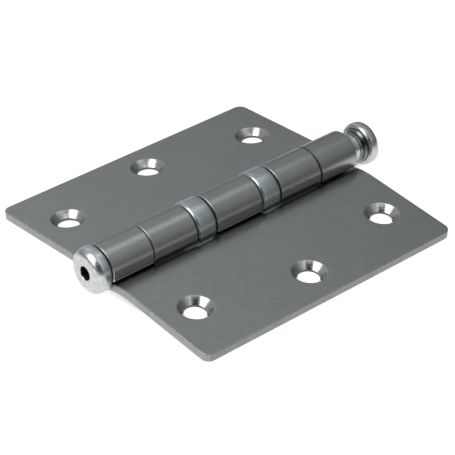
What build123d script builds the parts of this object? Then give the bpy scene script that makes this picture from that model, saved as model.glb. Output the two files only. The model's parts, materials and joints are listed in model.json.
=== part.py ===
from build123d import *
import math
import os

# Loose-pin butt hinge with two ball thrust bearings, lying open on a table.
# Millimetres. +Y runs along the pin towards its head, +X towards the front leaf, +Z up.
# The origin is on the table, under the middle of the whole length from plug to pin head.

# Leaf plate
leaf_length = 89.0
leaf_width = 44.5
plate = 2.5
corner_radius = 2.5
face_below_axis = 1.0

# Rolled knuckles
pin_diameter = 7.9
pin_play = 0.05
swage_radius = 24.0
lip_angle = 13.0
edge_break = 0.35
middle_knuckle = 16.4
bearing_knuckle = 15.0
knuckle_play = 0.2
notch_clearance = 1.1
notch_corner = 1.0

# Countersunk screw holes
screw_hole = 6.2
countersink = 9.8
hole_land = 0.7
outer_hole_pitch = 68.0
outer_hole_reach = 27.45
middle_hole_reach = 34.4

# Ball thrust bearings
bearing_width = 7.2
shell_stand = 0.2
shell_wall = 0.5
shell_lip = 0.7
shell_seam = 0.35
shell_edge = 1.0
ball_diameter = 2.0
ball_count = 12
ball_sink = 0.25
ball_play = 0.04
race_play = 0.15

# Loose pin
pin_drawn = 5.6
neck_length = 3.2
neck_flare = 1.3
head_radius = 6.4
head_height = 3.9
head_seat_gap = 0.1
head_crown = 1.85
underside_round = 1.1
pin_tip_chamfer = 1.0
tip_gap = 0.5

# End plug
plug_radius = 6.66
plug_height = 4.5
plug_seat_gap = 0.25
plug_spigot = 7.0
plug_fit = 0.02
plug_crown = 2.4
plug_edge = 0.9
punch_hole = 4.1

# Sizes worked out from the values above
pin_radius = pin_diameter / 2
bore_radius = pin_radius + pin_play
knuckle_radius = bore_radius + plate
shell_radius = knuckle_radius + shell_stand
half_length = leaf_length / 2
underside = face_below_axis + plate
notch_reach = shell_radius + notch_clearance

# Places along the pin, counted from the middle of the barrel
middle_end = middle_knuckle / 2
bearing_centre = middle_end + bearing_width / 2
inner_start = middle_end + bearing_width
inner_end = inner_start + bearing_knuckle
outer_start = inner_end + knuckle_play

# The pin's head and the plug reach past the barrel by different lengths
head_reach = half_length + head_seat_gap + pin_drawn + head_height
plug_reach = half_length + plug_seat_gap + plug_height
barrel_shift = (plug_reach - head_reach) / 2

# The bearing bands and both outer leaf edges rest on the table, so each leaf droops a little
axis_height = shell_radius
leaf_droop = math.degrees(
    math.asin(axis_height / math.hypot(leaf_width, underside)) - math.atan2(underside, leaf_width)
)


def turned(outline):
    """Turn a closed half outline, drawn with radius along X, about the pin axis."""
    return revolve(make_face(outline), Axis.Y)


def bent_section():
    """Section of a leaf: a roll round the pin, a reverse bend, then the flat plate."""
    roll_mid = bore_radius + plate / 2
    flat_mid = face_below_axis + plate / 2
    bend_z = -flat_mid - swage_radius
    bend_x = math.sqrt((roll_mid + swage_radius) ** 2 - bend_z**2)
    leave = math.degrees(math.atan2(bend_z, bend_x))
    wrap = 360 + leave + lip_angle
    turn = 90 - (leave + 180)
    bend = (bend_x, bend_z)
    outer = CenterArc((0, 0), knuckle_radius, -lip_angle, wrap)
    inner = CenterArc((0, 0), bore_radius, -lip_angle, wrap)
    under = CenterArc(bend, swage_radius - plate / 2, leave + 180, turn)
    over = CenterArc(bend, swage_radius + plate / 2, leave + 180, turn)
    flat = Polyline(under @ 1, (leaf_width, -underside), (leaf_width, -face_below_axis), over @ 1)
    lip = Line(inner @ 0, outer @ 0)
    return Plane.XZ * make_face([outer, under, flat, over, inner, lip])


def notch(start, end):
    """Room in a leaf for the other leaf's knuckle and the bearings beside it."""
    depth = notch_reach + 2 * knuckle_radius
    box = Box(depth, end - start, 4 * knuckle_radius)
    box = fillet(box.edges().filter_by(Axis.Z).group_by(Axis.X)[-1], notch_corner)
    return Pos(notch_reach - depth / 2, (start + end) / 2, 0) * box


def knuckle_edge(place, outward):
    """Ring that breaks the outer edge of a knuckle's end at the given place along the pin."""
    reach = 2 * edge_break
    ring = Polyline(
        (knuckle_radius - reach, place + outward * edge_break),
        (knuckle_radius + edge_break, place + outward * edge_break),
        (knuckle_radius + edge_break, place - outward * reach),
        close=True,
    )
    start = Rot(Y=lip_angle) * make_face(ring)
    return revolve(start, -Axis.Y, 270 + lip_angle)


def screw_hole_cut(reach, along):
    """Countersunk hole through the plate."""
    depth = plate - hole_land
    slope = (countersink - screw_hole) / 2 / depth
    top_radius = countersink / 2 + slope * hole_land
    cone = Pos(0, 0, hole_land + plate / 2) * Cone(screw_hole / 2, top_radius, plate)
    drill = Cylinder(screw_hole / 2, 3 * plate)
    return Pos(reach, along, -underside) * (cone + drill)


def leaf(notches, knuckle_ends):
    """One leaf in its own frame: pin axis on Y, plate along +X."""
    blank = extrude(bent_section(), leaf_length / 2, both=True)
    blank = fillet(blank.edges().filter_by(Axis.Z).group_by(Axis.X)[-1], corner_radius)
    for start, end in notches:
        blank -= notch(start, end)
    for place, outward in knuckle_ends:
        blank -= knuckle_edge(place, outward)
    for side in (-1, 1):
        blank -= screw_hole_cut(outer_hole_reach, side * outer_hole_pitch / 2)
    return blank - screw_hole_cut(middle_hole_reach, 0)


def pin_mouth():
    """Taper in the last knuckle's mouth that takes the pin's neck."""
    depth = neck_length + 2 * head_seat_gap
    mouth = pin_radius + neck_flare + head_seat_gap
    cone = Polyline(
        (0, half_length - depth),
        (bore_radius, half_length - depth),
        (mouth, half_length),
        (mouth, half_length + plate),
        (0, half_length + plate),
        close=True,
    )
    return turned(cone)


def front_leaf():
    """Leaf with the middle knuckle and the two end knuckles."""
    notches = [(-outer_start, -middle_end), (middle_end, outer_start)]
    ends = []
    for side in (-1, 1):
        ends += [(side * half_length, side), (side * outer_start, -side), (side * middle_end, side)]
    return leaf(notches, ends) - pin_mouth()


def back_leaf():
    """Leaf with the two knuckles between the middle one and the ends."""
    clear = half_length + plate
    notches = [(-clear, -inner_end), (-inner_start, inner_start), (inner_end, clear)]
    ends = []
    for side in (-1, 1):
        ends += [(side * inner_end, side), (side * inner_start, -side)]
    return Rot(Z=180) * leaf(notches, ends)


def hinge_pin():
    """Loose pin: shank, flared neck and button head, drawn out of its seat."""
    seat = half_length + head_seat_gap + pin_drawn
    tip = -half_length + plug_spigot + tip_gap + pin_drawn
    crown = seat + head_height
    neck_radius = pin_radius + neck_flare
    neck = TangentArc((pin_radius, seat - neck_length), (neck_radius, seat), tangent=(0, 1))
    shank = Polyline(
        (neck_radius, seat),
        (head_radius, seat),
        (head_radius, crown),
        (0, crown),
        (0, tip),
        (pin_radius - pin_tip_chamfer, tip),
        (pin_radius, tip + pin_tip_chamfer),
        (pin_radius, seat - neck_length),
    )
    outline = make_face([neck, shank])
    rim = outline.vertices().group_by(Axis.X)[-1].sort_by(Axis.Y)
    outline = fillet(rim[-1], head_crown)
    rim = outline.vertices().group_by(Axis.X)[-1].sort_by(Axis.Y)
    outline = fillet(rim[0], underside_round)
    return revolve(outline, Axis.Y)


def end_plug():
    """Button plug with a punch hole, pressed into the first knuckle."""
    seat = -half_length - plug_seat_gap
    tip = -half_length + plug_spigot
    crown = seat - plug_height
    outline = make_face(
        Polyline(
            (punch_hole / 2, crown),
            (plug_radius, crown),
            (plug_radius, seat),
            (bore_radius - plug_fit, seat),
            (bore_radius - plug_fit, tip),
            (punch_hole / 2, tip),
            close=True,
        )
    )
    rim = outline.vertices().group_by(Axis.X)[-1].sort_by(Axis.Y)
    outline = fillet(rim[0], plug_crown)
    rim = outline.vertices().group_by(Axis.X)[-1].sort_by(Axis.Y)
    outline = fillet(rim[-1], plug_edge)
    return revolve(outline, Axis.Y)


def bearing_sizes():
    """Bore, pitch and outer radius of the races inside a shell."""
    race_bore = pin_radius + race_play
    race_outer = shell_radius - shell_wall - race_play
    return race_bore, (race_bore + race_outer) / 2, race_outer


def bearing_shell():
    """Band round a bearing, with both edges closed in over the races."""
    half = bearing_width / 2 - shell_seam
    inside = shell_radius - shell_wall
    lip = inside - shell_lip
    outline = make_face(
        Polyline(
            (shell_radius, -half),
            (shell_radius, half),
            (lip, half),
            (lip, half - shell_wall),
            (inside, half - shell_wall),
            (inside, -half + shell_wall),
            (lip, -half + shell_wall),
            (lip, -half),
            close=True,
        )
    )
    outline = fillet(outline.vertices().group_by(Axis.X)[-1], shell_edge)
    return revolve(outline, Axis.Y)


def bearing_race(side):
    """Race with a ball groove and a hub that bears on the knuckle on the given side."""
    race_bore, pitch, race_outer = bearing_sizes()
    hub = shell_radius - shell_wall - shell_lip - race_play
    face = ball_diameter / 2 - ball_sink
    back = bearing_width / 2 - shell_seam - shell_wall - ball_play
    outline = make_face(
        Polyline(
            (race_bore, face),
            (race_outer, face),
            (race_outer, back),
            (hub, back),
            (hub, bearing_width / 2),
            (race_bore, bearing_width / 2),
            close=True,
        )
    )
    groove = Pos(pitch, 0) * Circle(ball_diameter / 2 + ball_play)
    ring = revolve(outline - groove, Axis.Y)
    return ring if side > 0 else Rot(Z=180) * ring


def bearing_balls():
    """Ring of separate balls."""
    _, pitch, _ = bearing_sizes()
    ball = Pos(pitch, 0, 0) * Sphere(ball_diameter / 2)
    return Compound([Rot(Y=360 * turn / ball_count) * ball for turn in range(ball_count)])


def bearing(name, side):
    """Pieces of the bearing on the given side of the middle knuckle."""
    pieces = {
        f"{name}_shell": bearing_shell(),
        f"{name}_fixed_race": bearing_race(-side),
        f"{name}_turning_race": bearing_race(side),
        f"{name}_balls": bearing_balls(),
    }
    return {node: Pos(0, side * bearing_centre, 0) * piece for node, piece in pieces.items()}


nodes = {
    "front_leaf": Rot(Y=leaf_droop) * front_leaf(),
    "back_leaf": Rot(Y=-leaf_droop) * back_leaf(),
    "hinge_pin": hinge_pin(),
    "end_plug": end_plug(),
}
nodes |= bearing("near", -1)
nodes |= bearing("far", 1)

os.makedirs("parts", exist_ok=True)
for node, piece in nodes.items():
    export_step(Pos(0, barrel_shift, axis_height) * piece, f"parts/{node}.step")
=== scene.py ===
"""Looks of a loose-pin butt hinge with two ball bearings, lying open on a pale table.

Pieces are shaped in millimetres in the hinge's own frame, with the pin axis on Y, and are
then placed in the row frame in metres. Patterns of the finishes and the studio are in metres.
"""

import json
import logging
import math
from collections.abc import Iterable, Sequence
from dataclasses import dataclass, field
from enum import Enum
from functools import reduce
from typing import NamedTuple

import bmesh
import bpy
from mathutils import Matrix, Vector

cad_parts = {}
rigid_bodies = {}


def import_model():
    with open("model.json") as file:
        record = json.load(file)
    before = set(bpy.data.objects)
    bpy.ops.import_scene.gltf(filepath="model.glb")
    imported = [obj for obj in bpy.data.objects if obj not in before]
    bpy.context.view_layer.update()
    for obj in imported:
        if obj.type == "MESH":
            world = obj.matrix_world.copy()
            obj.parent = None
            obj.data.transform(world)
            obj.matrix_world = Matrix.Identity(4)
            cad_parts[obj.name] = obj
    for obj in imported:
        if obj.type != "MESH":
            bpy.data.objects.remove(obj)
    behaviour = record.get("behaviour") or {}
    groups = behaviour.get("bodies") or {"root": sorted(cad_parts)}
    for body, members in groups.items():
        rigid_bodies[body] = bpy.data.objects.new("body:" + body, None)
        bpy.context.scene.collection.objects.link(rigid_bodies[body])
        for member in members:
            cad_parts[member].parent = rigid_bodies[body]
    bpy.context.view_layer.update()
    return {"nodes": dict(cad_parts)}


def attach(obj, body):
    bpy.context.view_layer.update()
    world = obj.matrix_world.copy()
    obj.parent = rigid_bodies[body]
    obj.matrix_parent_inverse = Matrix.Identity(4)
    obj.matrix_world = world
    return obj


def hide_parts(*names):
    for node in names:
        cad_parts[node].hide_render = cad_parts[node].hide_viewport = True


LOG = logging.getLogger("hinge")
METRES = 0.001
SHEET_MAP = "sheet"
# Units of the sheet's map per millimetre
MAP_SCALE = 0.01
# Millimetres within which two places are the same
CLOSE = 1e-3
# Share of a unit normal along an axis from which its face counts as square to that axis
SQUARE = 0.9
# Share of a unit normal along an axis from which its face counts as tilted towards that axis
TILT = 0.01

Triple = tuple[float, float, float]
Colour = Triple
Paint = tuple[float, float, float, float]
Span = tuple[float, float]
Spans = tuple[Span, ...]
Socket = bpy.types.NodeSocket
Inputs = dict[str | int, object]
Shape = bmesh.types.BMesh
Edges = list[bmesh.types.BMEdge]
Element = bmesh.types.BMVert | bmesh.types.BMEdge | bmesh.types.BMFace


class Facing(Enum):
    """Side of the pin that a leaf's plate lies on."""

    FRONT = 1
    BACK = -1


class SheetFace(Enum):
    """Kinds of surface on a leaf, in the order of its material slots."""

    ROLLED = 0
    SHEARED = 1
    COUNTERSUNK = 2
    # Hole walls, dark partly by their own rough finish and partly as painted shade; notch roots and knuckle
    # ends with painted shade use it too
    PUNCHED_AND_SHADE = 3
    # Outer long edge, a darker copy of the sheared finish as painted shade
    SHADED_SLIT = 4
    # Lip faces, brightened as a painted highlight
    LIP = 5


class Slot(Enum):
    """Material slots of the record."""

    LEAF = "leaf_steel"
    PLATED = "plated_steel"
    BAND = "bearing_band"
    RACE = "race_steel"
    BALL = "ball_steel"


@dataclass(frozen=True)
class Pattern:
    """Cloudy noise in a finish.

    The scale counts features per unit of the stretched place, which is the place on the sheet's map
    or else the place in the row frame. The shades are what the colour is multiplied by where the
    noise is low and where it is high. A raised pattern is part of the relief.
    """

    scale: float = 1.0
    detail: float = 3.0
    rough: float = 0.55
    stretch: Triple = (1.0, 1.0, 1.0)
    sheet: bool = False
    shades: Span | None = None
    raised: bool = False


Patterns = tuple[Pattern, ...]


class Wiring:
    """Node tree, with short ways to add its nodes."""

    def __init__(self, tree: bpy.types.NodeTree) -> None:
        """Empty the tree that gets the nodes."""
        self.tree = tree
        self.tree.nodes.clear()

    def feed(self, node: bpy.types.Node, inputs: Inputs) -> None:
        """Fill a node's inputs.

        Args:
            node: Node to fill.
            inputs: Socket to link or constant to set, for each input's name or number.
        """
        for key, value in inputs.items():
            if isinstance(value, Socket):
                self.tree.links.new(value, node.inputs[key])
            else:
                node.inputs[key].default_value = value

    def node(self, kind: str, inputs: Inputs | None = None, **settings: object) -> bpy.types.Node:
        """Add a node.

        Args:
            kind: Blender's name for the node type.
            inputs: Socket to link or constant to set, for each input's name or number.
            settings: Properties to set on the node.

        Returns:
            The new node.
        """
        made = self.tree.nodes.new(kind)
        for key, value in settings.items():
            setattr(made, key, value)
        self.feed(made, inputs or {})
        return made

    def maths(self, operation: str, *values: Socket | float) -> Socket:
        """Result of an operation on some values."""
        return self.node("ShaderNodeMath", dict(enumerate(values)), operation=operation).outputs[0]

    def times(self, first: Socket, second: Socket) -> Socket:
        """Product of two values."""
        return self.maths("MULTIPLY", first, second)

    def plus(self, first: Socket, second: Socket) -> Socket:
        """Sum of two values."""
        return self.maths("ADD", first, second)

    def far_from(self, value: Socket, middle: float) -> Socket:
        """Distance of a value from a fixed one."""
        return self.maths("ABSOLUTE", self.maths("SUBTRACT", value, middle))

    def part(self, where: Socket, axis: str) -> Socket:
        """One coordinate of a place."""
        return self.node("ShaderNodeSeparateXYZ", {"Vector": where}).outputs[axis]

    def spread(
        self,
        value: Socket,
        low: float,
        high: float,
        start: float = 0.3,
        end: float = 0.7,
        blend: str = "LINEAR",
    ) -> Socket:
        """Map a value onto a range.

        Args:
            value: Value, such as a noise.
            low: Result at the start of the value's range.
            high: Result at the end of the value's range.
            start: Value that gives low.
            end: Value that gives high.
            blend: Blender's name for the way between low and high.

        Returns:
            The mapped value.
        """
        inputs = {"Value": value, "From Min": start, "From Max": end, "To Min": low, "To Max": high}
        return self.node("ShaderNodeMapRange", inputs, interpolation_type=blend).outputs["Result"]

    def between(self, share: Socket, low: float, high: float) -> Socket:
        """Value that a share from nought to one finds between two others."""
        return self.spread(share, low, high, 0.0, 1.0)


class Bench(Wiring):
    """Node tree of one material."""

    def __init__(self, name: str) -> None:
        """Start a material that has only a shader and an output.

        Args:
            name: Name of the material.
        """
        self.material = bpy.data.materials.new(name)
        self.material.use_nodes = True
        super().__init__(self.material.node_tree)
        self.shader = self.node("ShaderNodeBsdfPrincipled")
        self.node("ShaderNodeOutputMaterial", {"Surface": self.shader.outputs["BSDF"]})

    def set(self, **values: object) -> None:
        """Fill the shader's own inputs, with _ for a space in an input's name."""
        self.feed(self.shader, {key.replace("_", " "): value for key, value in values.items()})

    def place(self, stretch: Triple = (1.0, 1.0, 1.0), sheet: bool = False, turn: float = 0.0) -> Socket:
        """Coordinates for a pattern.

        Args:
            stretch: Scale of the pattern along each axis.
            sheet: Whether the pattern follows the developed sheet and not the object's axes.
            turn: Turn of the coordinates about Z in degrees.

        Returns:
            The scaled coordinates.
        """
        if sheet:
            source = self.node("ShaderNodeUVMap", uv_map=SHEET_MAP).outputs["UV"]
        else:
            source = self.node("ShaderNodeTexCoord").outputs["Object"]
        inputs = {"Vector": source, "Scale": stretch, "Rotation": (0.0, 0.0, math.radians(turn))}
        return self.node("ShaderNodeMapping", inputs).outputs["Vector"]

    def noise(self, pattern: Pattern) -> Socket:
        """Noise between nought and one.

        Args:
            pattern: Pattern that the noise follows.

        Returns:
            The noise value.
        """
        inputs = {
            "Vector": self.place(pattern.stretch, pattern.sheet),
            "Scale": pattern.scale,
            "Detail": pattern.detail,
            "Roughness": pattern.rough,
        }
        return self.node("ShaderNodeTexNoise", inputs).outputs["Fac"]

    def shade(self, colour: Colour, factor: Socket) -> None:
        """Give the shader a base colour that a value makes lighter and darker."""
        made = self.node("ShaderNodeVectorMath", {0: colour, "Scale": factor}, operation="SCALE")
        self.set(Base_Color=made.outputs["Vector"])

    def bump(self, height: Socket, depth: float) -> None:
        """Give the shader a relief of so many metres where the height is one."""
        made = self.node("ShaderNodeBump", {"Strength": 1.0, "Distance": depth, "Height": height})
        self.set(Normal=made.outputs["Normal"])


@dataclass(frozen=True)
class MetalFinish:
    """Metal whose shade, gloss and relief follow patterns of noise.

    The gloss is what the first pattern adds to the roughness where it is low and where it is high.
    """

    name: str
    tint: Colour
    roughness: float
    gloss: Span | None
    relief: float
    patterns: Patterns

    def marked(self, bench: Bench, tone: Socket) -> Socket:
        """Tone of the metal with the marks that only this finish has."""
        return tone

    def treat(self, bench: Bench) -> None:
        """Set what only this finish has on the shader."""

    def material(self) -> bpy.types.Material:
        """Build the finish.

        Returns:
            The finished material.
        """
        bench = Bench(self.name)
        noises = [bench.noise(pattern) for pattern in self.patterns]
        looks = list(zip(noises, self.patterns))
        tones = [bench.spread(noise, *look.shades) for noise, look in looks if look.shades]
        bench.shade(self.tint, self.marked(bench, reduce(bench.times, tones)))
        heights = [noise for noise, look in looks if look.raised]
        bench.bump(reduce(bench.plus, heights), self.relief)
        rough = self.roughness
        if self.gloss is not None:
            rough = bench.spread(noises[0], *(self.roughness + change for change in self.gloss))
        bench.set(Metallic=1.0, Roughness=rough)
        self.treat(bench)
        return bench.material


@dataclass(frozen=True)
class RolledSteel(MetalFinish):
    """Satin face of the rolled sheet, faintly clouded, with a fine grain along the pin.

    Painted shade darkens the bend beside the knuckles. Its place is in the units of the sheet's map.
    """

    name: str = "rolled_steel"
    tint: Colour = (0.366, 0.376, 0.369)
    roughness: float = 0.3
    gloss: Span | None = (-0.04, 0.04)
    relief: float = 2e-6
    patterns: Patterns = (
        Pattern(1, 4, 0.6, stretch=(900, 40, 1), sheet=True, raised=True),
        Pattern(70, 4, shades=(0.975, 1.025)),
        Pattern(420, 4, 0.65, shades=(0.95, 1.05)),
        Pattern(2600, 2, raised=True),
    )
    edge_tint: Paint = (0.75, 0.75, 0.75, 1.0)
    # Painted shade on the bend beside the knuckles: share of the tone left, its place and its fade
    bend_shade: float = 0.52
    bend_shade_place: float = 0.062
    bend_shade_width: Span = (0.018, 0.029)

    def marked(self, bench: Bench, tone: Socket) -> Socket:
        """Tone of the sheet with painted shade on its bend."""
        away = bench.far_from(bench.part(bench.place(sheet=True), "X"), self.bend_shade_place)
        return bench.times(bench.spread(away, self.bend_shade, 1.0, *self.bend_shade_width), tone)

    def treat(self, bench: Bench) -> None:
        """Dim the gleam of the sheet where it turns away."""
        bench.set(Specular_Tint=self.edge_tint)


@dataclass(frozen=True)
class ShearedSteel(MetalFinish):
    """Cut edge of the sheet, marked across its thickness by the shear."""

    name: str = "sheared_steel"
    tint: Colour = (0.334, 0.345, 0.342)
    roughness: float = 0.42
    gloss: Span | None = (-0.08, 0.08)
    relief: float = 8e-6
    patterns: Patterns = (
        Pattern(1500, 4, 0.6, stretch=(1, 1, 0.12), shades=(0.86, 1.1), raised=True),
        Pattern(260, shades=(0.92, 1.06)),
    )


@dataclass(frozen=True)
class TurnedSteel(MetalFinish):
    """Freshly cut countersink, bright, with fine rings left by the cutter."""

    name: str = "turned_steel"
    tint: Colour = (0.5, 0.51, 0.49)
    roughness: float = 0.17
    gloss: Span | None = (-0.05, 0.06)
    relief: float = 4e-6
    patterns: Patterns = (
        Pattern(stretch=(2, 900, 1), sheet=True, shades=(0.9, 1.08), raised=True),
        Pattern(700, shades=(0.92, 1.06)),
    )
    streaking: float = 0.6

    def treat(self, bench: Bench) -> None:
        """Streak the gloss across the cutter's rings."""
        tangent = bench.node("ShaderNodeTangent", direction_type="UV_MAP", uv_map=SHEET_MAP)
        bench.set(Anisotropic=self.streaking, Tangent=tangent.outputs["Tangent"])


@dataclass(frozen=True)
class ZincPlate(MetalFinish):
    """Bright zinc plate, mottled and a little scuffed."""

    name: str = "zinc_plate"
    tint: Colour = (0.64, 0.656, 0.668)
    roughness: float = 0.28
    gloss: Span | None = (0.09, -0.05)
    relief: float = 1.2e-5
    patterns: Patterns = (
        Pattern(620, 4, 0.6, shades=(0.84, 1.06), raised=True),
        Pattern(1700, 3, 0.6, shades=(0.8, 1.08), raised=True),
    )


@dataclass(frozen=True)
class DrilledSteel(MetalFinish):
    """Wall of a drilled hole, rough, darkened as painted shade of the recess."""

    name: str = "drilled_steel"
    tint: Colour = (0.035, 0.035, 0.04)
    roughness: float = 0.55
    gloss: Span | None = (-0.1, 0.1)
    relief: float = 1e-5
    patterns: Patterns = (Pattern(stretch=(200, 4200, 200), shades=(0.8, 1.2), raised=True),)


@dataclass(frozen=True)
class PolishedBand(MetalFinish):
    """Polished steel with fine lines round the axis."""

    name: str = "polished_band"
    tint: Colour = (0.463, 0.506, 0.52)
    roughness: float = 0.32
    gloss: Span | None = (-0.02, 0.03)
    relief: float = 2e-7
    patterns: Patterns = (
        Pattern(stretch=(60, 3800, 60), shades=(0.94, 1.05), raised=True),
        Pattern(380, shades=(0.94, 1.05)),
    )


@dataclass(frozen=True)
class ShadedNeck(MetalFinish):
    """Neck of the pin, darkened as painted shade, with painted highlight rings.

    The rings' places are in metres along the pin, in the row frame.
    """

    name: str = "shaded_neck"
    tint: Colour = (0.085, 0.09, 0.09)
    roughness: float = 0.28
    gloss: Span | None = None
    relief: float = 2e-7
    patterns: Patterns = (
        Pattern(stretch=(60, 3800, 60), raised=True),
        Pattern(900, shades=(0.8, 1.2)),
    )
    # Painted highlight rings: their places along the pin, fade and brightness
    rings: tuple[float, ...] = (0.04615, 0.0473)
    ring_width: Span = (0.0001, 0.00032)
    ring_light: float = 2.0

    def marked(self, bench: Bench, tone: Socket) -> Socket:
        """Add the painted highlight rings to the neck's tone.

        Args:
            bench: Material that gets the nodes.
            tone: Tone of the neck between the rings.

        Returns:
            The tone with the rings in it.
        """
        along = bench.part(bench.place(), "Y")
        for ring in self.rings:
            away = bench.far_from(along, ring)
            tone = bench.plus(tone, bench.spread(away, self.ring_light, 0.0, *self.ring_width))
        return tone


@dataclass(frozen=True)
class TableTop:
    """Pale matt table that is lit from below, as on a light table, and dim under the barrel.

    The dimness under the barrel is a painted shadow, a painted strip of light lies in the gap between the
    barrel and the leaves, and a painted shadow lies beside the pin's head. Each width, length and reach
    says where an edge starts to fade and where it has faded.
    """

    name: str = "pale_table"
    tint: Colour = (0.2, 0.2, 0.2)
    roughness: float = 0.9
    fibres: Pattern = Pattern(40, 2, shades=(0.98, 1.02))
    glow_tint: Paint = (1.0, 1.0, 1.0, 1.0)
    glow: float = 0.95
    rim_glow: float = 0.22
    glow_turn: float = 48.7
    glow_width: Span = (0.07, 0.13)
    glow_length: Span = (0.115, 0.22)
    # Painted shadow under the barrel: share of colour and glow left, middle, half width and half length
    dim: float = 0.01
    dim_middle: Span = (0.0025, -0.0025)
    dim_width: Span = (0.01, 0.0155)
    dim_length: Span = (0.038, 0.045)
    # Painted strip of light in the gap between the barrel and the leaves, brightest beside the bearings
    gap_light: float = 0.2
    gap_place: float = 0.0058
    gap_width: Span = (0.0008, 0.0018)
    gap_bearing: float = 0.0118
    gap_reach: Span = (0.0036, 0.006)
    gap_rest: float = 0.25
    # Painted shadow beside the pin's head
    head_shade: float = 0.1
    head_place: Span = (-0.006, 0.048)
    head_width: Span = (0.003, 0.0085)
    head_length: Span = (0.003, 0.012)

    def material(self) -> bpy.types.Material:
        """Build the finish.

        Returns:
            The finished material.
        """
        bench = Bench(self.name)
        # Painted shadows under the barrel and beside the pin's head
        shadow = self.patch(bench, self.dim_middle, self.dim_width, self.dim_length)
        head = self.patch(bench, self.head_place, self.head_width, self.head_length)
        lit = self.patch(bench, (0.0, 0.0), self.glow_width, self.glow_length, self.glow_turn)
        glow = bench.between(lit, self.rim_glow, self.glow)
        glow = bench.times(glow, bench.between(head, 1.0, self.head_shade))
        # Painted shadow under the barrel, with the painted strip of light in the gap
        share = bench.plus(bench.between(shadow, 1.0, self.dim), self.gap(bench, shadow))
        fibres = bench.spread(bench.noise(self.fibres), *self.fibres.shades)
        bench.shade(self.tint, bench.times(share, fibres))
        bench.set(Roughness=self.roughness, Specular_IOR_Level=0.0)
        bench.set(Emission_Color=self.glow_tint, Emission_Strength=bench.times(glow, share))
        return bench.material

    def gap(self, bench: Bench, shadow: Socket) -> Socket:
        """Painted light in the gap between the barrel and the leaves, most of it beside the bearings.

        Args:
            bench: Material that gets the nodes.
            shadow: Share of the painted shadow that the painted light lies in.

        Returns:
            The share of the painted light.
        """
        where = bench.place()
        side = bench.far_from(bench.part(where, "X"), 0.0)
        strip = bench.spread(bench.far_from(side, self.gap_place), self.gap_light, 0.0, *self.gap_width)
        along = bench.far_from(bench.part(where, "Y"), self.dim_middle[1])
        bearing = bench.spread(bench.far_from(along, self.gap_bearing), 1.0, self.gap_rest, *self.gap_reach)
        return bench.times(bench.times(strip, bearing), shadow)

    @staticmethod
    def patch(bench: Bench, middle: Span, width: Span, length: Span, turn: float = 0.0) -> Socket:
        """Soft-edged rectangle that is one inside and nought outside.

        Args:
            bench: Material that gets the nodes.
            middle: Place of its middle across and along, in metres.
            width: Half widths, in metres, where its edge starts to fade and where it has faded.
            length: Half lengths, in metres, where its edge starts to fade and where it has faded.
            turn: Turn of the rectangle in degrees.

        Returns:
            The share of the rectangle.
        """
        where = bench.place(turn=-turn)
        sides = [
            bench.spread(bench.far_from(bench.part(where, axis), spot), 1.0, 0.0, *fade, blend="SMOOTHSTEP")
            for axis, spot, fade in zip("XY", middle, (width, length))
        ]
        return bench.times(*sides)


def round_off(
    shape: Shape, geometry: Sequence[Element], size: float, strips: int, affect: str = "EDGES"
) -> None:
    """Round some edges or corners of a shape.

    Args:
        shape: Shape to change.
        geometry: Edges or vertices to round.
        size: Width that the rounding takes from each side.
        strips: Number of strips in the rounding.
        affect: Blender's name for what is rounded.
    """
    bmesh.ops.bevel(
        shape,
        geom=geometry,
        offset=size,
        offset_type="OFFSET",
        segments=strips,
        profile=0.5,
        affect=affect,
        clamp_overlap=True,
        loop_slide=True,
        material=-1,
    )


def verts_in(geometry: Iterable[Element]) -> list[bmesh.types.BMVert]:
    """Vertices among the results of an operator."""
    return [item for item in geometry if isinstance(item, bmesh.types.BMVert)]


def finished(
    shape: Shape, name: str, place: Matrix, materials: Iterable[bpy.types.Material], crease: float = 35.0
) -> bpy.types.Object:
    """Turn a shape in millimetres into an object whose place is in its mesh.

    Args:
        shape: Shape in the hinge's frame. It is freed.
        name: Name of the piece.
        place: Turn and shift in millimetres from the shape's frame to the row frame.
        materials: Materials in the order of the faces' indices.
        crease: Edges sharper than this many degrees keep a hard shade.

    Returns:
        The finished object at the origin.
    """
    bmesh.ops.transform(shape, matrix=Matrix.Scale(METRES, 4) @ place, verts=shape.verts[:])
    bmesh.ops.recalc_face_normals(shape, faces=shape.faces[:])
    for face in shape.faces:
        face.smooth = True
    for edge in shape.edges:
        edge.smooth = edge.calc_face_angle(0.0) < math.radians(crease)
    mesh = bpy.data.meshes.new(name)
    shape.to_mesh(mesh)
    shape.free()
    for material in materials:
        mesh.materials.append(material)
    made = bpy.data.objects.new(name, mesh)
    bpy.context.scene.collection.objects.link(made)
    return made


def worn_by(piece: bpy.types.Object, body: str, node: str) -> bpy.types.Object:
    """Let a piece ride on a body and stand for a node.

    Args:
        piece: Finished piece.
        body: Body that carries it.
        node: Node that it stands for.

    Returns:
        The same piece.
    """
    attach(piece, body)
    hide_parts(node)
    LOG.info("%s: %d faces on %s", piece.name, len(piece.data.polygons), body)
    return piece


@dataclass(frozen=True)
class Barrel:
    """Sizes that every piece on the pin shares, in millimetres."""

    half_length: float = 44.5
    pin_radius: float = 3.95
    bore_radius: float = 4.0
    plate: float = 2.5
    shell_radius: float = 6.7
    shift: float = -2.425

    def place(self) -> Matrix:
        """Shift from the pin's frame to the row frame."""
        return Matrix.Translation((0, self.shift, self.shell_radius))


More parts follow.
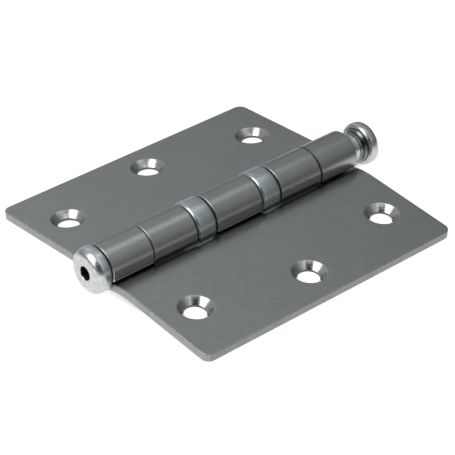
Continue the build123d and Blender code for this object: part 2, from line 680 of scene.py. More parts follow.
@dataclass
class RolledLeaf:
    """One leaf: a punched blank that is thickened, countersunk, edge-rounded and rolled.

    A run is a length along the sheet, from the line where the flat plate ends towards the lip. Rows,
    steps and strips say how finely the sheet is divided. A hole's place is its reach from the pin and
    its place along the pin.
    """

    node: str
    facing: Facing
    tongues: Spans
    barrel: Barrel = field(default_factory=Barrel)
    has_mouth: bool = False
    # Places along the pin of knuckle ends with painted shade, and of lips with a painted highlight
    shaded_ends: tuple[float, ...] = ()
    bright_lips: tuple[float, ...] = ()
    width: float = 44.5
    corner_radius: float = 2.5
    face_below_axis: float = 1.0
    swage_radius: float = 24.0
    lip_angle: float = 13.0
    lip_straight: float = 1.2
    lip_reach: float = 8.2
    notch_reach: float = 7.8
    notch_corner: float = 1.0
    hole_top: float = 4.9
    hole_through: float = 3.1
    hole_land: float = 0.7
    hole_places: Spans = ((27.45, -34.0), (34.4, 0.0), (27.45, 34.0))
    mouth_depth: float = 3.4
    mouth_radius: float = 5.35
    outer_round: float = 0.32
    inner_round: float = 0.18
    rim_round: float = 0.07
    border: float = 0.5
    last_strip: float = 0.8
    corner_strips: int = 12
    hole_steps: int = 96
    root_strips: int = 3
    notch_rows: tuple[float, ...] = (0.04, 0.15, 0.33, 0.6, 1.0)
    bend_steps: int = 8
    roll_steps: int = 84
    outer_strips: int = 4
    inner_strips: int = 3
    rim_strips: int = 2

    def __post_init__(self) -> None:
        """Work out the bend that joins the flat plate to the roll."""
        drop = self.face_below_axis + self.barrel.plate / 2 + self.swage_radius
        self.roll_mid = self.barrel.bore_radius + self.barrel.plate / 2
        self.bend_z = -drop
        self.bend_x = math.sqrt((self.roll_mid + self.swage_radius) ** 2 - drop**2)
        self.leave = math.atan2(self.bend_z, self.bend_x)
        roll_turn = 2 * math.pi + self.leave + math.radians(self.lip_angle)
        self.bend_run = self.swage_radius * (math.pi / 2 + self.leave)
        self.sheet_run = self.bend_run + self.roll_mid * roll_turn
        self.root_run = self.swage_radius * math.asin((self.bend_x - self.notch_reach) / self.swage_radius)
        underside = self.face_below_axis + self.barrel.plate
        reach = math.hypot(self.width, underside)
        self.droop = math.asin(self.barrel.shell_radius / reach) - math.atan2(underside, self.width)

    def inside(self, along: float) -> bool:
        """Whether a place along the pin lies between the blank's own ends."""
        return abs(along) < self.barrel.half_length - CLOSE

    def root_span(self, tongue: Span) -> Span:
        """Span of a tongue at its root, where the notch corners widen it.

        Args:
            tongue: Start and end of the tongue along the pin.

        Returns:
            Start and end of its root along the pin.
        """
        start, end = tongue
        low = start - self.notch_corner if self.inside(start) else start
        high = end + self.notch_corner if self.inside(end) else end
        return low, high

    def outline(self, shape: Shape) -> None:
        """Lay out the flat plate with its corners and holes, then fill it.

        Args:
            shape: Shape that gets the plate.
        """
        half = self.barrel.half_length
        spots = ((self.bend_x, -half), (self.width, -half), (self.width, half), (self.bend_x, half))
        verts = [shape.verts.new((x, y, 0)) for x, y in spots]
        shape.faces.new(verts)
        round_off(shape, verts[1:3], self.corner_radius, self.corner_strips, "VERTICES")
        self.split_bend_line(shape)
        bmesh.ops.delete(shape, geom=shape.faces[:], context="FACES_ONLY")
        for x, y in self.hole_places:
            middle = Matrix.Translation((x, y, 0))
            bmesh.ops.create_circle(
                shape, cap_ends=False, radius=self.hole_top, segments=self.hole_steps, matrix=middle
            )
        bmesh.ops.triangle_fill(shape, use_beauty=True, edges=shape.edges[:], normal=(0, 0, 1))

    def split_bend_line(self, shape: Shape) -> None:
        """Split the line where the flat plate ends at the tongues' roots and the mouth's depth.

        Args:
            shape: Shape that holds the plate.
        """
        half = self.barrel.half_length
        marks = {along for tongue in self.tongues for along in self.root_span(tongue)}
        if self.has_mouth:
            marks.add(half - self.mouth_depth)
        edge = self.row_of(shape, 0, -half, half)[0]
        low = min(edge.verts, key=lambda vert: vert.co.y)
        for mark in sorted(filter(self.inside, marks)):
            high = edge.other_vert(low)
            edge, low = bmesh.utils.edge_split(edge, low, (mark - low.co.y) / (high.co.y - low.co.y))
            low.co.y = mark
            edge = next(e for e in low.link_edges if e.other_vert(low) is high)

    def row_of(self, shape: Shape, run: float, low: float, high: float) -> Edges:
        """Edges that lie across the sheet at a given run.

        Args:
            shape: Flat blank.
            run: Run of the row.
            low: Least place along the pin.
            high: Greatest place along the pin.

        Returns:
            The edges of that row.
        """
        x = self.bend_x - run
        return [
            edge
            for edge in shape.edges
            if all(abs(v.co.x - x) < CLOSE and low - CLOSE < v.co.y < high + CLOSE for v in edge.verts)
        ]

    @staticmethod
    def pull(shape: Shape, edges: Edges, length: float) -> Edges:
        """Draw a row of edges further along the sheet.

        Args:
            shape: Flat blank.
            edges: Row to draw out.
            length: Length of the new strip.

        Returns:
            The new row.
        """
        made = bmesh.ops.extrude_edge_only(shape, edges=edges)["geom"]
        verts = verts_in(made)
        bmesh.ops.translate(shape, vec=(-length, 0, 0), verts=verts)
        fresh = set(verts)
        return [e for e in made if isinstance(e, bmesh.types.BMEdge) and fresh.issuperset(e.verts)]

    def rows(self) -> list[float]:
        """Runs of the rows of a tongue.

        Returns:
            The runs in rising order, from the notch corners to the lip.
        """
        runs = [self.root_run + self.notch_corner * share for share in self.notch_rows]
        stretches = ((self.bend_run, self.bend_steps), (self.sheet_run - self.last_strip, self.roll_steps))
        for end, steps in stretches:
            start = runs[-1]
            runs += [start + (end - start) * step / steps for step in range(1, steps + 1)]
        return [*runs, self.sheet_run]

    def tongue(self, shape: Shape, span: Span) -> None:
        """Draw one knuckle's tongue out of the blank, with rounded notch corners at its root.

        Args:
            shape: Flat blank.
            span: Start and end of the tongue along the pin.
        """
        start, end = span
        run = self.root_run
        edges = self.row_of(shape, run, *self.root_span(span))
        for stop in self.rows():
            edges = self.pull(shape, edges, stop - run)
            run = stop
            away = min(1.0, (run - self.root_run) / self.notch_corner)
            flare = self.notch_corner * (1 - math.sqrt(1 - (1 - away) ** 2))
            for vert in {vert for edge in edges for vert in edge.verts}:
                if vert.co.y < start + CLOSE and self.inside(start):
                    vert.co.y = start - flare
                elif vert.co.y > end - CLOSE and self.inside(end):
                    vert.co.y = end + flare

    def blank(self) -> Shape:
        """Punch the flat blank: plate, bend strips and tongues, one face deep.

        Returns:
            The flat blank in the plane of the sheet's top face.
        """
        shape = bmesh.new()
        self.outline(shape)
        half = self.barrel.half_length
        edges = self.row_of(shape, 0, -half, half)
        for _ in range(self.root_strips):
            edges = self.pull(shape, edges, self.root_run / self.root_strips)
        for span in self.tongues:
            self.tongue(shape, span)
        return shape

    def thicken(self, shape: Shape) -> None:
        """Give the blank a border and the sheet's thickness.

        Args:
            shape: Flat blank.
        """
        bmesh.ops.recalc_face_normals(shape, faces=shape.faces[:])
        if shape.faces[0].normal.z < 0:
            bmesh.ops.reverse_faces(shape, faces=shape.faces[:])
        bmesh.ops.inset_region(
            shape,
            faces=shape.faces[:],
            use_boundary=True,
            use_even_offset=True,
            thickness=self.border,
            depth=0,
        )
        made = bmesh.ops.extrude_face_region(shape, geom=shape.faces[:])["geom"]
        bmesh.ops.translate(shape, vec=(0, 0, -self.barrel.plate), verts=verts_in(made))
        bmesh.ops.recalc_face_normals(shape, faces=shape.faces[:])

    def countersink(self, shape: Shape) -> None:
        """Taper the screw holes to their land.

        Args:
            shape: Thick flat blank.
        """
        half_plate = self.barrel.plate / 2
        reach = self.hole_top + self.border / 2
        for x, y in self.hole_places:
            middle = Vector((x, y, 0))
            ring = [
                vert
                for vert in shape.verts
                if vert.co.z < -half_plate and (vert.co.xy - middle.xy).length < reach
            ]
            aim = Matrix.Translation(-middle)
            share = self.hole_through / self.hole_top
            bmesh.ops.scale(shape, vec=(share, share, 1), space=aim, verts=ring)
            members = set(ring)
            sides = [e for v in ring for e in v.link_edges if e.other_vert(v) not in members]
            walls = [e for e in sides if abs(e.verts[0].co.z - e.verts[1].co.z) > half_plate]
            land = verts_in(bmesh.ops.subdivide_edges(shape, edges=walls, cuts=1)["geom_inner"])
            share = self.hole_through / ((self.hole_through + self.hole_top) / 2)
            bmesh.ops.scale(shape, vec=(share, share, 1), space=aim, verts=land)
            bmesh.ops.translate(shape, vec=(0, 0, self.hole_land - half_plate), verts=land)
        bmesh.ops.recalc_face_normals(shape, faces=shape.faces[:])

    def kind_of(self, face: bmesh.types.BMFace) -> SheetFace:
        """Kind of surface that a face of the blank belongs to.

        Args:
            face: Face of the thick flat blank.

        Returns:
            The kind of surface.
        """
        if abs(face.normal.z) >= SQUARE:
            return SheetFace.ROLLED
        middle = face.calc_center_median()
        x, y = self.nearest_hole(middle)
        if math.hypot(middle.x - x, middle.y - y) < self.hole_top + self.border / 2:
            return SheetFace.COUNTERSUNK if face.normal.z > TILT else SheetFace.PUNCHED_AND_SHADE
        return SheetFace.SHADED_SLIT if middle.x > self.width - self.outer_round else SheetFace.SHEARED

    def nearest_hole(self, point: Vector) -> Span:
        """Place of the screw hole that is nearest to a point of the flat blank."""
        return min(self.hole_places, key=lambda spot: math.hypot(point.x - spot[0], point.y - spot[1]))

    def mark_faces(self, shape: Shape) -> None:
        """Give each face its kind of surface, and a map that follows the developed sheet.

        Args:
            shape: Thick flat blank.
        """
        sheet = shape.loops.layers.uv.new(SHEET_MAP)
        for face in shape.faces:
            kind = self.kind_of(face)
            face.material_index = kind.value
            if kind in (SheetFace.COUNTERSUNK, SheetFace.PUNCHED_AND_SHADE):
                self.map_hole(face, sheet)
            else:
                for loop in face.loops:
                    loop[sheet].uv = loop.vert.co.xy * MAP_SCALE

    def map_hole(self, face: bmesh.types.BMFace, sheet: bmesh.types.BMLayerItem) -> None:
        """Map a face of a screw hole by its angle and radius.

        Args:
            face: Face of the hole's wall.
            sheet: Layer that holds the map.
        """
        middle = face.calc_center_median()
        x, y = self.nearest_hole(middle)
        about = math.atan2(middle.y - y, middle.x - x)
        for loop in face.loops:
            spot = loop.vert.co
            angle = math.atan2(spot.y - y, spot.x - x)
            turn = about + (angle - about + math.pi) % (2 * math.pi) - math.pi
            loop[sheet].uv = (turn / (2 * math.pi), math.hypot(spot.x - x, spot.y - y) * MAP_SCALE)

    @staticmethod
    def borders(shape: Shape, *kinds: SheetFace) -> Edges:
        """Edges between the rolled faces and faces of some other kinds."""
        pairs = [{SheetFace.ROLLED.value, kind.value} for kind in kinds]
        return [edge for edge in shape.edges if {face.material_index for face in edge.link_faces} in pairs]

    def round_edges(self, shape: Shape) -> None:
        """Round the sheared edges and take the sharpness off the holes' rims.

        Args:
            shape: Thick flat blank with its faces marked.
        """
        outer = (-self.barrel.plate, self.outer_round, self.outer_strips)
        inner = (0.0, self.inner_round, self.inner_strips)
        for level, size, strips in (outer, inner):
            edges = self.borders(shape, SheetFace.SHEARED, SheetFace.SHADED_SLIT)
            edges = [edge for edge in edges if all(abs(v.co.z - level) < CLOSE for v in edge.verts)]
            round_off(shape, edges, size, strips)
        rims = self.borders(shape, SheetFace.COUNTERSUNK, SheetFace.PUNCHED_AND_SHADE)
        round_off(shape, rims, self.rim_round, self.rim_strips)

    def paint_shade_and_highlights(self, shape: Shape) -> None:
        """Paint shade on the notch roots and on the knuckle ends at the far seam and far end, and paint a
        highlight on the lips.

        Args:
            shape: Thick flat blank with its edges rounded.
        """
        for face in shape.faces:
            middle = face.calc_center_median()
            run = self.bend_x - middle.x
            rounding = run > self.bend_run and TILT < abs(face.normal.y) < 1 - TILT
            # Painted shade on the rounded knuckle ends
            end_shade = rounding and any(abs(middle.y - end) < self.outer_round for end in self.shaded_ends)
            # Painted shade on the walls of the notch roots
            root = abs(run - self.root_run) < self.outer_round and face.normal.x < -SQUARE
            # Painted highlight along the lips
            lip = run > self.sheet_run - self.border and face.normal.z < -TILT
            if end_shade or root:
                face.material_index = SheetFace.PUNCHED_AND_SHADE.value
            if lip and any(abs(middle.y - spot) < self.lip_reach for spot in self.bright_lips):
                face.material_index = SheetFace.LIP.value

    def rolled(self, point: Vector) -> Vector:
        """Place of a flat blank's point once the sheet is bent and rolled.

        Args:
            point: Point of the thick flat blank.

        Returns:
            The point in the leaf's frame.
        """
        run = self.bend_x - point.x
        height = point.z + self.barrel.plate / 2
        if run <= 0:
            return Vector((point.x, point.y, point.z - self.face_below_axis))
        if run <= self.bend_run:
            turn = run / self.swage_radius
            reach = self.swage_radius + height
            x, z = self.bend_x - reach * math.sin(turn), self.bend_z + reach * math.cos(turn)
            return Vector((x, point.y, z))
        past = max(0.0, run - self.sheet_run + self.lip_straight)
        angle = self.leave - (run - past - self.bend_run) / self.roll_mid
        reach = self.roll_mid - height
        out, along = math.cos(angle), math.sin(angle)
        return Vector((reach * out + past * along, point.y, reach * along - past * out))

    def open_mouth(self, shape: Shape) -> None:
        """Taper the last knuckle's mouth for the pin's neck.

        Args:
            shape: Rolled leaf.
        """
        bore = self.barrel.bore_radius
        start = self.barrel.half_length - self.mouth_depth
        for vert in shape.verts:
            share = (vert.co.y - start) / self.mouth_depth
            least = bore + (self.mouth_radius - bore) * share
            reach = math.hypot(vert.co.x, vert.co.z)
            if share > 0 and reach < least:
                vert.co.x *= least / reach
                vert.co.z *= least / reach

    def place(self) -> Matrix:
        """Turn and shift from the leaf's frame to the row frame, in millimetres."""
        half_turn = Matrix.Rotation(math.pi if self.facing is Facing.BACK else 0.0, 4, "Z")
        return self.barrel.place() @ Matrix.Rotation(self.facing.value * self.droop, 4, "Y") @ half_turn

    def build(self, materials: Sequence[bpy.types.Material]) -> bpy.types.Object:
        """Make the leaf and let it stand for its node.

        Args:
            materials: Finishes in the order of SheetFace.

        Returns:
            The finished leaf.
        """
        shape = self.blank()
        self.thicken(shape)
        self.countersink(shape)
        self.mark_faces(shape)
        self.round_edges(shape)
        self.paint_shade_and_highlights(shape)
        for vert in shape.verts:
            vert.co = self.rolled(vert.co)
        if self.has_mouth:
            self.open_mouth(shape)
        piece = finished(shape, f"{self.node}_sheet", self.place(), materials)
        return worn_by(piece, self.node, self.node)


class Rounding(NamedTuple):
    """Rounding of one rim of a turned piece."""

    radius: float
    along: float
    size: float
    strips: int


@dataclass
class TurnedPiece:
    """A piece turned about the pin axis."""

    node: str
    body: str
    slot: Slot
    barrel: Barrel = field(default_factory=Barrel)
    steps: int = 160

    def outline(self, shape: Shape) -> None:
        """Draw the piece's half outline, with radius along X."""
        raise NotImplementedError

    def rounds(self) -> list[Rounding]:
        """Rims to round."""
        return []

    def finish_of(self, middle: Vector) -> int:
        """Index of the finish on the face with the given middle."""
        return 0

    @staticmethod
    def chain(
        shape: Shape, points: Iterable[Span], start: bmesh.types.BMVert | None = None, closed: bool = False
    ) -> bmesh.types.BMVert:
        """Draw straight lines through some points.

        Args:
            shape: Shape that gets the lines.
            points: Radius and place along the pin of each point.
            start: Vertex that the first line leaves from.
            closed: Whether a line joins the last point to the first.

        Returns:
            The last vertex.
        """
        fresh = [shape.verts.new((radius, along, 0)) for radius, along in points]
        verts = fresh if start is None else [start, *fresh]
        for pair in zip(verts, verts[1:]):
            shape.edges.new(pair)
        if closed:
            shape.edges.new((verts[-1], verts[0]))
        return verts[-1]

    @staticmethod
    def rim(shape: Shape, radius: float, along: float) -> Edges:
        """Edges of a rim.

        Args:
            shape: Turned shape.
            radius: Radius of the rim.
            along: Place of the rim along the pin.

        Returns:
            The edges that go round the pin there.
        """
        spots = {
            vert
            for vert in shape.verts
            if abs(vert.co.y - along) < CLOSE and abs(math.hypot(vert.co.x, vert.co.z) - radius) < CLOSE
        }
        return [edge for edge in shape.edges if spots.issuperset(edge.verts)]

    def build(self, materials: Sequence[bpy.types.Material]) -> bpy.types.Object:
        """Turn the outline, round its edges and let the piece stand for its node.

        Args:
            materials: Finishes of the piece.

        Returns:
            The finished piece.
        """
        shape = bmesh.new()
        self.outline(shape)
        bmesh.ops.spin(
            shape,
            geom=shape.verts[:] + shape.edges[:],
            cent=(0, 0, 0),
            axis=(0, 1, 0),
            angle=2 * math.pi,
            steps=self.steps,
            use_merge=True,
        )
        bmesh.ops.remove_doubles(shape, verts=shape.verts[:], dist=CLOSE)
        bmesh.ops.recalc_face_normals(shape, faces=shape.faces[:])
        for radius, along, size, strips in self.rounds():
            round_off(shape, self.rim(shape, radius, along), size, strips)
        for face in shape.faces:
            face.material_index = self.finish_of(face.calc_center_median())
        piece = finished(shape, f"{self.node}_turned", self.barrel.place(), materials)
        return worn_by(piece, self.body, self.node)


@dataclass
class LoosePin(TurnedPiece):
    """Pin with a flared neck and a button head, drawn a little out of its seat."""

    drawn: float = 5.6
    seat_gap: float = 0.1
    neck_length: float = 3.2
    neck_flare: float = 1.3
    neck_steps: int = 14
    # Length of the neck with painted shade and painted highlight rings
    shaded_neck_length: float = 2.3
    head_radius: float = 6.4
    head_height: float = 3.9
    crown_round: float = 1.85
    crown_strips: int = 12
    underside_round: float = 1.1
    underside_strips: int = 8
    tip_chamfer: float = 1.0
    tip_place: float = -31.4

    @property
    def seat(self) -> float:
        """Place of the head's underside along the pin."""
        return self.barrel.half_length + self.seat_gap + self.drawn

    @property
    def crown(self) -> float:
        """Place of the head's outer face along the pin."""
        return self.seat + self.head_height

    def outline(self, shape: Shape) -> None:
        """Draw the shank, the neck's hollow curve and the head.

        Args:
            shape: Shape that gets the outline.
        """
        radius = self.barrel.pin_radius
        tip = self.tip_place
        start = self.seat - self.neck_length
        chamfer = self.tip_chamfer
        shank = [(0.0, tip), (radius - chamfer, tip), (radius, tip + chamfer), (radius, start)]
        last = self.chain(shape, shank)
        curve = (self.neck_flare**2 + self.neck_length**2) / (2 * self.neck_flare)
        sweep = math.asin(self.neck_length / curve)
        middle = (radius + curve, start, 0)
        made = bmesh.ops.spin(
            shape, geom=[last], cent=middle, axis=(0, 0, 1), angle=-sweep, steps=self.neck_steps
        )
        neck = verts_in(made["geom_last"])[0]
        head = [(self.head_radius, self.seat), (self.head_radius, self.crown), (0.0, self.crown)]
        self.chain(shape, head, neck)

    def rounds(self) -> list[Rounding]:
        """Rims to round, on both sides of the head."""
        crown = Rounding(self.head_radius, self.crown, self.crown_round, self.crown_strips)
        return [crown, Rounding(self.head_radius, self.seat, self.underside_round, self.underside_strips)]

    def finish_of(self, middle: Vector) -> int:
        """Index of the finish on the face with the given middle: one on the neck with painted shade."""
        return int(self.seat - self.shaded_neck_length < middle.y < self.seat)


@dataclass
class ButtonPlug(TurnedPiece):
    """Plug with a punch hole, pressed into the first knuckle."""

    radius: float = 6.66
    height: float = 4.5
    seat_gap: float = 0.25
    spigot: float = 7.0
    spigot_radius: float = 3.98
    hole_radius: float = 2.05
    crown_round: float = 2.4
    crown_strips: int = 12
    rear_round: float = 0.9
    rear_strips: int = 6
    hole_round: float = 0.2
    hole_strips: int = 3

    @property
    def seat(self) -> float:
        """Place of the head's underside along the pin."""
        return -self.barrel.half_length - self.seat_gap

    @property
    def crown(self) -> float:
        """Place of the head's outer face along the pin."""
        return self.seat - self.height

    def outline(self, shape: Shape) -> None:
        """Draw the closed half section.

        Args:
            shape: Shape that gets the outline.
        """
        tip = self.spigot - self.barrel.half_length
        points = [
            (self.hole_radius, self.crown),
            (self.radius, self.crown),
            (self.radius, self.seat),
            (self.spigot_radius, self.seat),
            (self.spigot_radius, tip),
            (self.hole_radius, tip),
        ]
        self.chain(shape, points, closed=True)

    def rounds(self) -> list[Rounding]:
        """Rims to round, on both sides of the head and at the hole's mouth.

        Returns:
            The rims in the order in which they are rounded.
        """
        return [
            Rounding(self.radius, self.crown, self.crown_round, self.crown_strips),
            Rounding(self.radius, self.seat, self.rear_round, self.rear_strips),
            Rounding(self.hole_radius, self.crown, self.hole_round, self.hole_strips),
        ]

    def finish_of(self, middle: Vector) -> int:
        """Index of the finish on the face with the given middle: one in the hole."""
        deep = middle.y > self.crown + self.hole_round
        return int(deep and math.hypot(middle.x, middle.z) < self.hole_radius + CLOSE)


@dataclass
class BearingBand(TurnedPiece):
    """Band round a bearing, with both edges closed in over the races."""

    middle: float = 0.0
    width: float = 6.5
    wall: float = 0.5
    lip: float = 0.7
    edge_round: float = 1.0
    edge_strips: int = 8

    @property
    def ends(self) -> Span:
        """Places of the band's two ends along the pin."""
        return self.middle - self.width / 2, self.middle + self.width / 2

    def outline(self, shape: Shape) -> None:
        """Draw the closed half section.

        Args:
            shape: Shape that gets the outline.
        """
        low, high = self.ends
        outer = self.barrel.shell_radius
        inside = outer - self.wall
        lip = inside - self.lip
        points = [
            (outer, low),
            (outer, high),
            (lip, high),
            (lip, high - self.wall),
            (inside, high - self.wall),
            (inside, low + self.wall),
            (lip, low + self.wall),
            (lip, low),
        ]
        self.chain(shape, points, closed=True)

    def rounds(self) -> list[Rounding]:
        """Rims to round, at both ends of the band."""
        outer = self.barrel.shell_radius
        return [Rounding(outer, end, self.edge_round, self.edge_strips) for end in self.ends]


@dataclass
class InnerBearing:
    """Races and balls, which keep their own solids and get a finish."""

    race: PolishedBand = PolishedBand("ground_race", (0.5, 0.5, 0.51), 0.2)
    ball: PolishedBand = PolishedBand("polished_ball", (0.68, 0.68, 0.69), 0.08)

    def dress(self, nodes: dict[str, bpy.types.Object]) -> None:
        """Give the races and balls their finishes.

        Args:
            nodes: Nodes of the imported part.
        """
        finishes = {"race": (self.race.material(), Slot.RACE), "balls": (self.ball.material(), Slot.BALL)}
        for name, node in nodes.items():
            kind = name.rsplit("_", 1)[-1]
            if kind in finishes:
                material, slot = finishes[kind]
                node.data.materials.clear()
                node.data.materials.append(material)
                LOG.info("%s: finished as %s", name, material.name)


@dataclass(frozen=True)
class SoftBox:
    """Large soft lamp that faces the hinge."""

    name: str
    towards: Triple
    distance: float
    width: float
    height: float
    power: float

    def build(self) -> bpy.types.Object:
        """Hang the lamp.

        Returns:
            The lamp's object.
        """
        lamp = bpy.data.lights.new(self.name, "AREA")
        lamp.shape = "RECTANGLE"
        lamp.size = self.width
        lamp.size_y = self.height
        lamp.energy = self.power
        made = bpy.data.objects.new(self.name, lamp)
        way = Vector(self.towards).normalized()
        made.location = way * self.distance
        made.rotation_euler = (-way).to_track_quat("-Z", "Y").to_euler()
        bpy.context.scene.collection.objects.link(made)
        return made


@dataclass
class Studio:
    """Table, lamps, surrounding light and camera.

    The room's tones are pairs of a direction's part along an axis and the tone there, and a dark doorway
    lies behind the camera. The camera's places are in millimetres from the middle of the barrel, and its
    angles in degrees.
    """

    azimuth: float = 48.68682
    elevation: float = 34.05546
    roll: float = 0.50055
    distance: float = 565.740
    across: float = 0.5386
    upward: float = -5.7184
    focal_pixels: float = 2042.069
    frame_pixels: float = 455.0
    sensor: float = 36.0
    nearest: float = 0.01
    barrel: Barrel = field(default_factory=Barrel)
    table_half: float = 3.0
    table_drop: float = 0.0001
    low_tint: Colour = (1.0, 1.01, 0.985)
    high_tint: Colour = (0.968, 1.0, 1.045)
    tint_heights: Span = (0.1, 0.6)
    height_tones: Spans = ((-1, 0.2), (0, 0.22), (0.5, 0.52), (1, 0.56))
    depth_tones: Spans = ((-1, 0.35), (-0.3, 0.45), (0.3, 1.5), (0.7, 0.5), (1, 0.4))
    side_tones: Spans = (
        (-1, 1.08),
        (-0.7, 1.03),
        (-0.52, 0.975),
        (-0.46, 0.88),
        (-0.25, 0.88),
        (0, 0.96),
        (0.5, 0.9),
        (0.8, 0.68),
        (1, 0.6),
    )
    top_tone: float = 2.0
    doorway: Triple = (0.622, -0.547, 0.56)
    doorway_tone: float = 0.08
    doorway_edge: Span = (0.88, 0.93)
    lamps: tuple[SoftBox, ...] = (
        SoftBox("front_box", (-0.155, -0.715, 0.68), distance=0.8, width=0.52, height=0.9, power=4.77),
        SoftBox("top_box", (0.015, 0.35, 0.93), distance=0.32, width=0.12, height=0.15, power=0.031),
        SoftBox("left_card", (-0.78, -0.42, 0.46), distance=0.8, width=0.6, height=0.6, power=0.2),
        SoftBox("high_card", (0.42, -0.13, 0.9), distance=0.8, width=0.35, height=0.2, power=0.14),
        SoftBox("side_strip", (0.75, 0.07, 0.67), distance=0.8, width=0.07, height=0.5, power=0.125),
    )

    def table(self) -> bpy.types.Object:
        """Lay the pale table under the hinge.

        Returns:
            The table's object.
        """
        shape = bmesh.new()
        bmesh.ops.create_grid(shape, x_segments=1, y_segments=1, size=self.table_half)
        bmesh.ops.translate(shape, vec=(0, 0, -self.table_drop), verts=shape.verts[:])
        mesh = bpy.data.meshes.new("table")
        shape.to_mesh(mesh)
        shape.free()
        mesh.materials.append(TableTop().material())
        made = bpy.data.objects.new("table", mesh)
        bpy.context.scene.collection.objects.link(made)
        return made

    def surroundings(self) -> None:
        """Surround the table with a soft grey room, whose tone changes with height, depth and side."""
        world = bpy.data.worlds.new("soft_room")
        bpy.context.scene.world = world
        world.use_nodes = True
        room = Wiring(world.node_tree)
        way = room.node("ShaderNodeTexCoord").outputs["Generated"]
        ramp = room.node("ShaderNodeValToRGB", {"Fac": room.part(way, "Z")})
        tints = (self.low_tint, self.high_tint)
        for point, spot, tint in zip(ramp.color_ramp.elements, self.tint_heights, tints):
            point.position = spot
            point.color = (*tint, 1)
        tones = (self.height_tones, self.depth_tones, self.side_tones)
        shares = [self.tone(room, room.part(way, axis), curve) for axis, curve in zip("ZYX", tones)]
        towards = room.node("ShaderNodeVectorMath", {0: way, 1: self.doorway}, operation="DOT_PRODUCT")
        shares.append(room.spread(towards.outputs["Value"], 1.0, self.doorway_tone, *self.doorway_edge))
        light = {"Color": ramp.outputs["Color"], "Strength": reduce(room.times, shares)}
        back = room.node("ShaderNodeBackground", light)
        room.node("ShaderNodeOutputWorld", {"Surface": back.outputs["Background"]})

    def tone(self, room: Wiring, value: Socket, tones: Spans) -> Socket:
        """Curve through some tones.

        Args:
            room: Node tree that gets the curve.
            value: Part of the direction, between minus one and one.
            tones: Value and tone of each point, in rising order.

        Returns:
            The tone at the value.
        """
        curve = room.node("ShaderNodeFloatCurve", {"Value": room.spread(value, 0.0, 1.0, -1.0, 1.0)})
        points = curve.mapping.curves[0].points
        while len(points) < len(tones):
            points.new(0.5, 0.5)
        for point, (spot, height) in zip(points, tones):
            point.location = ((spot + 1) / 2, height / self.top_tone)
            point.handle_type = "VECTOR"
        curve.mapping.update()
        return room.maths("MULTIPLY", curve.outputs["Value"], self.top_tone)

    def camera(self) -> bpy.types.Object:
        """Set the camera at the viewing angle of the photograph.

        Returns:
            The camera's object.
        """
        turn, tilt, roll = (math.radians(angle) for angle in (self.azimuth, self.elevation, self.roll))
        back = Vector((math.sin(turn) * math.cos(tilt), -math.cos(turn) * math.cos(tilt), math.sin(tilt)))
        level = Vector((math.cos(turn), math.sin(turn), 0))
        rise = back.cross(level)
        right = math.cos(roll) * level + math.sin(roll) * rise
        up = math.cos(roll) * rise - math.sin(roll) * level
        spot = right * self.across + up * self.upward + back * self.distance
        spot += self.barrel.place().translation
        lens = bpy.data.cameras.new("camera")
        lens.sensor_width = self.sensor
        lens.lens = self.focal_pixels * self.sensor / self.frame_pixels
        lens.clip_start = self.nearest
        lens.dof.use_dof = False
        made = bpy.data.objects.new("camera", lens)
        axes = Matrix((right, up, back)).transposed()
        made.matrix_world = Matrix.Translation(spot * METRES) @ axes.to_4x4()
        bpy.context.scene.collection.objects.link(made)
        bpy.context.scene.camera = made
        return made

    def build(self) -> None:
        """Set up the whole studio."""
        self.table()
        self.surroundings()
        for lamp in self.lamps:
            lamp.build()
        self.camera()
        bpy.context.scene.view_settings.view_transform = "Standard"
        LOG.info("studio: %d lamps", len(self.lamps))


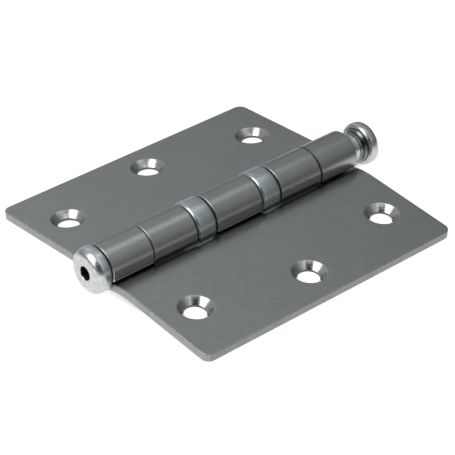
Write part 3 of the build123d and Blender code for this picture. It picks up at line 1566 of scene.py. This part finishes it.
@dataclass
class Hinge:
    """All the pieces of the hinge, in the order in which they are made."""

    nodes: dict[str, bpy.types.Object]
    middle_end: float = 8.2
    inner_start: float = 15.4
    inner_end: float = 30.4
    outer_start: float = 30.6
    bearing_middle: float = 11.8
    barrel: Barrel = field(default_factory=Barrel)

    def leaves(self) -> None:
        """Make both leaves."""
        # Dark finish of the hole walls, partly their own and partly painted shade, also used as painted
        # shade on notch roots and knuckle ends
        punched = DrilledSteel("punched_and_shade_steel", (0.12, 0.12, 0.118), 0.45)
        # Darker copy of the sheared finish: painted shade on the outer long edge
        shaded_slit = ShearedSteel("shaded_slit_steel", (0.272, 0.282, 0.279))
        # Bright copy of the sheared finish: a painted highlight along the lips
        lip = ShearedSteel("painted_highlight_lip", (0.95, 0.965, 0.95), 0.4)
        finishes = (RolledSteel(), ShearedSteel(), TurnedSteel(), punched, shaded_slit, lip)
        steel = [finish.material() for finish in finishes]
        half = self.barrel.half_length
        outer = ((-half, -self.outer_start), (-self.middle_end, self.middle_end), (self.outer_start, half))
        # Knuckle ends with painted shade, and lips with a painted highlight
        end_shade = (self.outer_start, half)
        bright = (-(half + self.outer_start) / 2, 0.0)
        front = RolledLeaf(
            "front_leaf", Facing.FRONT, outer, has_mouth=True, shaded_ends=end_shade, bright_lips=bright
        )
        front.build(steel)
        inner = ((-self.inner_end, -self.inner_start), (self.inner_start, self.inner_end))
        RolledLeaf("back_leaf", Facing.BACK, inner).build(steel)

    def turned(self) -> None:
        """Make the pin, the plug and the bearing bands."""
        # The pin's zinc is a darker copy of the plug's zinc, as painted shade
        shaded_pin_zinc = ZincPlate("shaded_zinc", (0.58, 0.594, 0.604))
        LoosePin("hinge_pin", "hinge_pin", Slot.PLATED).build([shaded_pin_zinc.material(), ShadedNeck().material()])
        # The plug's hole gets a near-black finish as painted shade
        plug = [ZincPlate().material(), DrilledSteel().material()]
        ButtonPlug("end_plug", "front_leaf", Slot.PLATED).build(plug)
        bright = [PolishedBand().material()]
        for name, side in (("near", -1), ("far", 1)):
            middle = side * self.bearing_middle
            BearingBand(f"{name}_shell", "front_leaf", Slot.BAND, middle=middle).build(bright)

    def build(self) -> None:
        """Make every piece and dress the inner ones."""
        self.leaves()
        self.turned()
        InnerBearing().dress(self.nodes)


def main() -> None:
    """Load the part, dress it and set the studio."""
    logging.basicConfig(level=logging.INFO, format="%(name)s: %(message)s")
    for old in list(bpy.data.objects):
        bpy.data.objects.remove(old)
    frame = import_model()
    Hinge(frame["nodes"]).build()
    Studio().build()
    bpy.context.view_layer.update()


if __name__ == "__main__":
    main()
